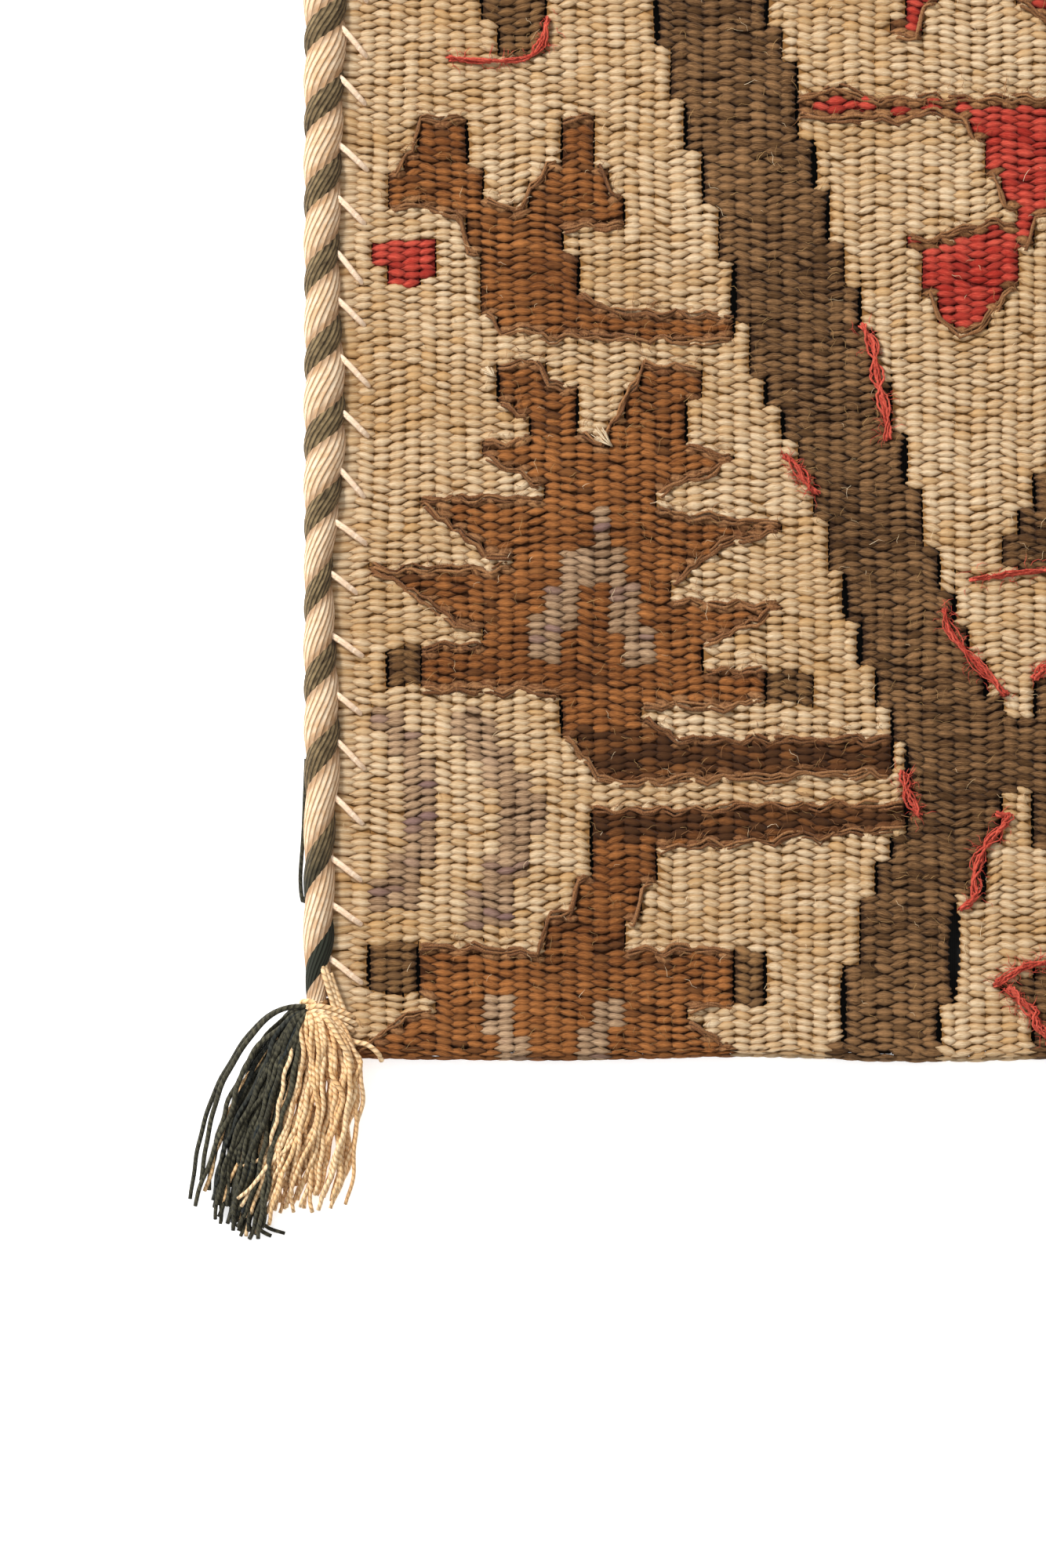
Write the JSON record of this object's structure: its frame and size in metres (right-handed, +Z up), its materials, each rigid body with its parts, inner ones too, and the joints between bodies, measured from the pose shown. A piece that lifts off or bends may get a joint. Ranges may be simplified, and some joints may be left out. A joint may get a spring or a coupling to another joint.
{
  "type": "table runner",
  "caption": "Lined flat-woven wool table runner with geometric motifs, a twisted two-colour cord whip-stitched down each long side and a tassel at each corner.",
  "frame": {"origin": "centre of the underside of the lining, on the surface the runner lies on", "axes": "+X across the runner, +Y along it towards the back drop, +Z up out of the woven face"},
  "size_m": [0.3576, 0.9682, 0.0068],
  "materials": {
    "lining_cotton": "plain black cotton, matte",
    "cream_wool": "ribbed weft-faced wool, matte",
    "brown_wool": "ribbed weft-faced wool, matte",
    "rust_wool": "ribbed weft-faced wool, slightly hairy",
    "dark_wool": "ribbed weft-faced wool, matte",
    "lilac_wool": "ribbed weft-faced wool, faded",
    "red_wool": "ribbed weft-faced wool, matte",
    "contour_wool": "loose hairy wool yarn",
    "twisted_cord": "two-ply cord of cream and dark yarns, soft sheen",
    "sewing_thread": "doubled sewing thread, soft sheen",
    "cream_tassel_yarn": "plied yarn, soft sheen",
    "dark_tassel_yarn": "plied yarn, matte"
  },
  "bodies": {
    "middle": {"middle_lining": "lining_cotton", "middle_cream_weft": "cream_wool", "middle_brown_weft": "brown_wool", "middle_rust_weft": "rust_wool", "middle_dark_weft": "dark_wool", "middle_lilac_weft": "lilac_wool", "middle_red_weft": "red_wool", "middle_contour_yarns": "contour_wool", "middle_left_cord": "twisted_cord", "middle_right_cord": "twisted_cord", "middle_left_stitches": "sewing_thread", "middle_right_stitches": "sewing_thread"},
    "front_drop": {"front_lining": "lining_cotton", "front_cream_weft": "cream_wool", "front_brown_weft": "brown_wool", "front_rust_weft": "rust_wool", "front_dark_weft": "dark_wool", "front_lilac_weft": "lilac_wool", "front_red_weft": "red_wool", "front_contour_yarns": "contour_wool", "front_left_cord": "twisted_cord", "front_right_cord": "twisted_cord", "front_left_stitches": "sewing_thread", "front_right_stitches": "sewing_thread", "front_turned_edge": "cream_wool", "front_left_knot": "cream_tassel_yarn", "front_right_knot": "cream_tassel_yarn"},
    "front_left_tassel": {"front_left_cream_skirt": "cream_tassel_yarn", "front_left_dark_skirt": "dark_tassel_yarn"},
    "front_right_tassel": {"front_right_cream_skirt": "cream_tassel_yarn", "front_right_dark_skirt": "dark_tassel_yarn"},
    "back_drop": {"back_lining": "lining_cotton", "back_cream_weft": "cream_wool", "back_brown_weft": "brown_wool", "back_rust_weft": "rust_wool", "back_dark_weft": "dark_wool", "back_lilac_weft": "lilac_wool", "back_red_weft": "red_wool", "back_contour_yarns": "contour_wool", "back_left_cord": "twisted_cord", "back_right_cord": "twisted_cord", "back_left_stitches": "sewing_thread", "back_right_stitches": "sewing_thread", "back_turned_edge": "cream_wool", "back_left_knot": "cream_tassel_yarn", "back_right_knot": "cream_tassel_yarn"},
    "back_left_tassel": {"back_left_cream_skirt": "cream_tassel_yarn", "back_left_dark_skirt": "dark_tassel_yarn"},
    "back_right_tassel": {"back_right_cream_skirt": "cream_tassel_yarn", "back_right_dark_skirt": "dark_tassel_yarn"}
  },
  "joints": [
    {"name": "front_fold", "type": "hinge", "parent": "middle", "child": "front_drop", "pos_m": [0, -0.249, 0.0071], "axis": [-1, 0, 0], "range_deg": [0, 179]},
    {"name": "back_fold", "type": "hinge", "parent": "middle", "child": "back_drop", "pos_m": [0, 0.249, 0.0071], "axis": [1, 0, 0], "range_deg": [0, 179]},
    {"name": "front_left_tassel_swing", "type": "hinge", "parent": "front_drop", "child": "front_left_tassel", "pos_m": [-0.1554, -0.4407, 0.003], "axis": [0, 0, -1], "range_deg": [0, 60]},
    {"name": "front_right_tassel_swing", "type": "hinge", "parent": "front_drop", "child": "front_right_tassel", "pos_m": [0.1554, -0.4407, 0.003], "axis": [0, 0, 1], "range_deg": [0, 60]},
    {"name": "back_left_tassel_swing", "type": "hinge", "parent": "back_drop", "child": "back_left_tassel", "pos_m": [-0.1554, 0.4407, 0.003], "axis": [0, 0, 1], "range_deg": [0, 60]},
    {"name": "back_right_tassel_swing", "type": "hinge", "parent": "back_drop", "child": "back_right_tassel", "pos_m": [0.1554, 0.4407, 0.003], "axis": [0, 0, -1], "range_deg": [0, 60]}
  ]
}
